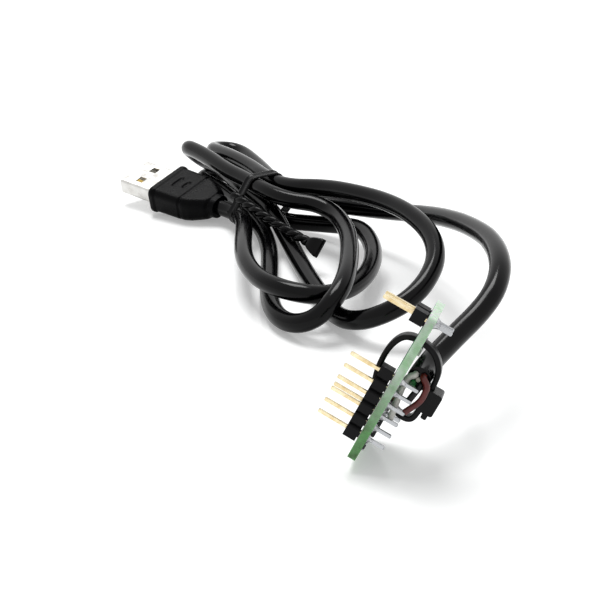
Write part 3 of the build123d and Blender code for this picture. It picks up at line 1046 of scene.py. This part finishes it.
@dataclass
class Strap:
    """The nylon strap that holds the cable to the board, with its head behind."""

    shop: Workshop
    place: BoardFrame
    line: float = 7.0
    width: float = 2.5
    thickness: float = 1.1
    path: tuple[Pair, ...] = (
        (24.3, -2.2), (24.3, 1.0), (22.9, 2.7), (19.6, 3.6), (15.0, 3.2), (12.0, 2.0), (10.8, 0.6),
        (10.8, -2.4), (9.9, -4.4), (10.2, -6.8), (12.6, -7.15), (18.4, -7.15), (21.4, -6.6), (23.6, -4.6),
    )

    def build(self) -> None:
        """Build the band, and dress the head."""
        base = self.place.frame()
        line = self.line_round()
        outline = round_rectangle(self.thickness, self.width, 0.28, 4)
        rings = []
        for point, side in zip(line, outsides(line)):
            rings.append(
                [base.at(point.x + side.x * a, self.line + b, point.y + side.y * a) for a, b in outline]
            )
        self.shop.skinned("strap_band", rings, STRAP_NYLON, "nylon_black", "strap", loop=True)
        self.shop.dress("strap_head", STRAP_NYLON)

    def line_round(self) -> list[Vector]:
        """Read the band's smooth closed line, station and height.

        Returns:
            Its points.
        """
        return [point.xy for point in spline_points([Vector((x, y, 0.0)) for x, y in self.path], closed=True)]


# ---------------------------------------------------------------- the cable, its plug and its tie


@dataclass
class PlugFrame:
    """The plug's own place: out of its mouth, across it and up from its broad face."""

    yaw: float = 24.0
    pitch: float = 4.0
    roll: float = 14.0
    shell_back: float = 2.0
    shell_reach: float = 12.2

    def frame(self) -> Frame3:
        """Find the frame from the angles and the shell's box."""
        y, p, r = (math.radians(v) for v in (self.yaw, self.pitch, self.roll))
        out = Vector((-math.cos(y) * math.cos(p), math.sin(y) * math.cos(p), math.sin(p)))
        level = Vector((math.sin(y), math.cos(y), 0.0))
        lift = level.cross(out)
        top = lift * math.cos(r) - level * math.sin(r)
        side = level * math.cos(r) + lift * math.sin(r)
        centre = middle("usb_shell") - out * (self.shell_reach - self.shell_back) / 2 * MM
        return Frame3(centre, out, side, top)


@dataclass
class UsbPlug:
    """The moulded grip with its collar, finger dimples and relief, and the plated shell."""

    shop: Workshop
    place: PlugFrame
    # Distance back from the front, width, height and corner radius.
    profile: tuple[tuple[float, float, float, float], ...] = (
        (0.0, 14.6, 6.8, 1.5), (0.15, 15.2, 7.4, 1.7), (0.5, 15.7, 7.9, 1.9), (1.1, 15.8, 8.0, 1.9),
        (1.7, 15.7, 7.9, 1.9), (2.1, 15.3, 7.5, 1.8), (2.4, 15.1, 7.3, 1.8), (10.4, 14.7, 7.3, 1.9),
        (10.7, 14.2, 6.8, 1.9), (11.1, 14.1, 6.7, 1.9), (11.4, 14.5, 7.3, 2.0), (12.2, 14.4, 7.3, 2.1),
        (14.0, 13.4, 7.2, 2.4), (16.0, 11.4, 6.9, 2.7), (17.6, 9.5, 6.6, 2.9), (18.0, 8.4, 6.4, 2.9),
        (18.3, 7.2, 6.0, 2.7), (20.0, 6.7, 5.8, 2.7),
    )
    # Distance back from the front, and length across.
    dimples: tuple[Pair, ...] = ((5.0, 4.8), (8.2, 3.5))
    dimple_wide: float = 1.5
    dimple_deep: float = 0.4
    step: float = 0.2

    def build(self) -> list[Object | str]:
        """Build the grip and dress the rest.

        Returns:
            The pieces that go with the cable.
        """
        base = self.place.frame()
        grip = self.grip(base)
        self.shop.dress("usb_shell", SHELL_NICKEL)
        self.shop.dress("usb_tongue", TONGUE_NYLON)
        self.shop.dress("usb_contacts", CONTACT_GOLD)
        return [grip, "usb_shell", "usb_tongue", "usb_contacts"]

    def grip(self, base: Frame3) -> Object:
        """Skin the grip's sections, with the dimples pressed in."""
        last = self.profile[-1][0]
        count = int(last / self.step)
        rings = []
        for i in range(count + 1):
            back = last * i / count
            width, height, radius = self.section(back)
            ring = []
            for x, y in self.dense(round_rectangle(width, height, radius, 8), 0.35):
                press = self.press(back, x, y) if abs(y) > height * 0.45 else 0.0
                ring.append(base.at(-back, x, y - math.copysign(press, y)))
            rings.append(ring)
        return self.shop.skinned("plug_grip", rings, GRIP_PVC, "plug_black", "usb_overmould", smooth=50.0)

    def section(self, back: float) -> Triple:
        """Give the width, height and corner radius at a distance back from the front.

        Args:
            back: the distance.

        Returns:
            The three sizes.
        """
        for one, two in zip(self.profile, self.profile[1:]):
            if back <= two[0]:
                share = (back - one[0]) / (two[0] - one[0])
                sizes = [a + (b - a) * share for a, b in zip(one[1:], two[1:])]
                return (sizes[0], sizes[1], sizes[2])
        return self.profile[-1][1:]

    def dense(self, outline: list[Pair], step: float) -> list[Pair]:
        """Divide the flat sides of an outline into equal steps, the same number for every section.

        Args:
            outline: the outline.
            step: about how long a step is, on the largest section.

        Returns:
            The denser outline.
        """
        points: list[Pair] = []
        corner = len(outline) // 4
        for i, one in enumerate(outline):
            points.append(one)
            two = outline[(i + 1) % len(outline)]
            if (i + 1) % corner == 0:
                broad = (i + 1) // corner in (1, 3)
                parts = int((12.0 if broad else 4.0) / step)
                points += [
                    (one[0] + (two[0] - one[0]) * k / parts, one[1] + (two[1] - one[1]) * k / parts)
                    for k in range(1, parts)
                ]
        return points

    def press(self, back: float, x: float, y: float) -> float:
        """Give how deep the dimples are at a point of a broad face."""
        deep = 0.0
        for centre, long in self.dimples:
            reach = max(0.0, abs(x) - (long - self.dimple_wide) / 2)
            away = math.hypot(reach, back - centre) / (self.dimple_wide / 2)
            if away < 1.0:
                deep = max(deep, self.dimple_deep * min(1.0, (1.0 - away) * 3.0))
        return deep


@dataclass
class TwistTie:
    """The flat wire tie: its ridged band round the hank, its twisted tail and its flared tip."""

    shop: Workshop
    turn: float = -49.5
    width: float = 3.6
    thickness: float = 0.4
    tail_radius: float = 1.3
    tail_pitch: float = 6.5
    tail_start: tuple[Triple, ...] = ((-8.6, 10.6, 0.0), (-7.6, 9.6, 8.0))
    tail_end: tuple[Triple, ...] = ((-41.0, 89.5, 7.5), (-34.2, 84.1, 7.0))
    tip_length: float = 4.5
    tip_root: float = 2.4
    tip_flare: float = 2.6
    tip_thickness: float = 1.8

    def frame(self) -> Frame3:
        """Find the frame from the angle and the band's box."""
        t = math.radians(self.turn)
        along = Vector((math.cos(t), math.sin(t), 0.0))
        first = Vector((-math.sin(t), math.cos(t), 0.0))
        return Frame3(middle("wire_tie"), first, Vector((0.0, 0.0, 1.0)), along)

    def build(self) -> list[Object]:
        """Build the three pieces.

        Returns:
            The pieces, which go with the cable.
        """
        base = self.frame()
        band = self.band(base)
        tail, end, heading = self.tail(base)
        tip = self.tip(end, heading)
        return [band, tail, tip]

    def outline(self, base: Frame3) -> list[Vector]:
        """Find the outside of the band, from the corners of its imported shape.

        Args:
            base: the band's frame.

        Returns:
            Its convex outline in local millimetres, in even steps.
        """
        spots = sorted(
            {
                tuple(round((v.co - base.origin).dot(way) / MM, 3) for way in (base.first, base.second))
                for v in bpy.data.objects["wire_tie"].data.vertices
            }
        )
        hull: list[Pair] = []
        for half in (spots, spots[::-1]):
            start = len(hull)
            for spot in half:
                while len(hull) - start >= 2 and self.bends(hull[-2], hull[-1], spot) <= 0:
                    hull.pop()
                hull.append(spot)
            hull.pop()
        corners = [Vector(p) for p in hull]
        spans = [(corners[(i + 1) % len(corners)] - c).length for i, c in enumerate(corners)]
        total, count, points = sum(spans), 140, []
        i, walked = 0, 0.0
        for k in range(count):
            goal = total * k / count
            while walked + spans[i] < goal:
                walked += spans[i]
                i += 1
            ahead = (corners[(i + 1) % len(corners)] - corners[i]).normalized()
            points.append(corners[i] + ahead * (goal - walked))
        return points

    @staticmethod
    def bends(a: Pair, b: Pair, c: Pair) -> float:
        """Tell which way three points bend."""
        return (b[0] - a[0]) * (c[1] - a[1]) - (b[1] - a[1]) * (c[0] - a[0])

    def band(self, base: Frame3) -> Object:
        """Skin the band round the hank, thin in the middle and ridged along both edges."""
        line = self.outline(base)
        half = self.width / 2
        lanes = [half * share for share in (-1.0, -0.86, -0.7, -0.5, 0.0, 0.5, 0.7, 0.86, 1.0)]
        rise = [0.12, 0.36, 0.4, 0.16, 0.12, 0.16, 0.4, 0.36, 0.12]
        rings = []
        for point, out in zip(line, outsides(line)):
            ring = []
            for lane, high in zip(lanes, rise):
                spot = point + out * (high - self.thickness)
                ring.append(base.at(spot.x, spot.y, lane))
            for lane in reversed(lanes):
                spot = point - out * self.thickness
                ring.append(base.at(spot.x, spot.y, lane))
            rings.append(ring)
        return self.shop.skinned("tie_band", rings, TIE_RIBBON, "tie_black", "wire_tie", loop=True, smooth=50.0)

    def tail(self, base: Frame3) -> tuple[Object, Vector, Vector]:
        """Skin the twisted tail along its spline.

        Args:
            base: the band's frame.

        Returns:
            The piece, its end and its heading there.
        """
        # The first two points are given across the band, above the floor and along the hank.
        lift = base.origin.z / MM
        route = [base.at(across, height - lift, along) for across, height, along in self.tail_start]
        route += [Vector(point) * MM for point in self.tail_end]
        line = spline_points(route, steps=40)
        rings = []
        walked, up = 0.0, Vector((0.0, 0.0, 1.0))
        for i, point in enumerate(line):
            ahead = (line[min(i + 1, len(line) - 1)] - line[max(i - 1, 0)]).normalized()
            walked += (point - line[max(i - 1, 0)]).length / MM
            side = ahead.cross(up).normalized()
            top = side.cross(ahead)
            spin = 2 * math.pi * walked / self.tail_pitch
            ring = []
            for k in range(20):
                a = 2 * math.pi * k / 20
                radius = self.tail_radius * (0.62 + 0.38 * abs(math.cos(a)) ** 0.8)
                ring.append(point + (side * math.cos(a + spin) + top * math.sin(a + spin)) * radius * MM)
            rings.append(ring)
        piece = self.shop.skinned("tie_twisted_tail", rings, TIE_RIBBON, "tie_black", "tie_tails")
        return piece, line[-1], (line[-1] - line[-3]).normalized()

    def tip(self, end: Vector, heading: Vector) -> Object:
        """Skin the flared flat tip.

        Args:
            end: where the tail ends.
            heading: which way it points there.

        Returns:
            The piece.
        """
        broad = Vector((0.35, 0.45, 0.82))
        broad = (broad - heading * broad.dot(heading)).normalized()
        thin = heading.cross(broad)
        rings = []
        for share in (0.0, 0.1, 0.3, 0.55, 0.8, 0.96, 1.0):
            width = self.tip_root + self.tip_flare * min(1.0, share * 1.25) ** 0.8
            thick = self.tip_thickness - 0.9 * share if share < 1 else 0.5
            wave = 0.25 * math.sin(share * 5.0)
            centre = end + heading * self.tip_length * share * MM
            ring = []
            for x, y in round_rectangle(width, thick, thick * 0.42, 5):
                ridge = 0.16 * math.cos(x * 2 * math.pi / 1.3)
                ring.append(centre + (broad * x + thin * (y + wave + math.copysign(ridge, y))) * MM)
            rings.append(ring)
        return self.shop.skinned("tie_flared_tip", rings, TIE_RIBBON, "tie_black", "tie_tail_tips")


@dataclass
class Cable:
    """The cable: one cord from the board's strap through the tied hank to the plug."""

    shop: Workshop
    board: BoardFrame
    plug: PlugFrame
    diameter: float = 4.5
    length: float = 937.2
    end_station: float = 18.6
    end_line: float = 4.4
    end_depth: float = 4.1
    straight: float = 6.1
    grip_back: float = 20.0
    plug_run: float = 6.0
    route: tuple[Triple, ...] = ROUTE

    def build(self, carried: Sequence[Object | str]) -> None:
        """Args:
            carried: the pieces on it; not used.
        """
        board, plug = self.board.frame(), self.plug.frame()
        lines = (self.end_line, self.end_line + self.straight)
        points = [board.at(self.end_station, line, -self.end_depth) for line in lines]
        points += [Vector(point) * MM for point in self.route]
        points += [plug.at(-back, 0.0, 0.0) for back in (self.grip_back + self.plug_run, self.grip_back)]
        curve = make_spline("cable", points, False, 12)
        curve.bevel_depth = self.diameter / 2 * MM
        curve.bevel_resolution = 6
        curve.use_fill_caps = True
        cable = self.shop.piece("cable", curve, CABLE_PVC, "cable_black", ("cable_jacket",))
        for node, finish in (
            ("wire_red", RED_INSULATION), ("wire_black", BLACK_INSULATION),
            ("wire_green", GREEN_INSULATION), ("wire_white", WHITE_INSULATION),
            ("cable_filler", FILLER_YARN),
        ):
            self.shop.dress(node, finish)


def main() -> None:
    """Build the whole object in order, and report it."""
    logging.basicConfig(level=logging.INFO, format="%(name)s: %(message)s")
    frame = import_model()
    Studio().build()
    shop = Workshop(next(iter(frame["bodies"])))
    board, plug = BoardFrame(), PlugFrame()
    carried: list[Object | str] = list(UsbPlug(shop, plug).build())
    carried += TwistTie(shop).build()
    Cable(shop, board, plug).build(carried)
    Board(shop, board).build()
    Headers(shop, board).build()
    SmallParts(shop, board).build()
    Strap(shop, board).build()
    log.info("%d pieces made", len(shop.made))


if __name__ == "__main__":
    main()
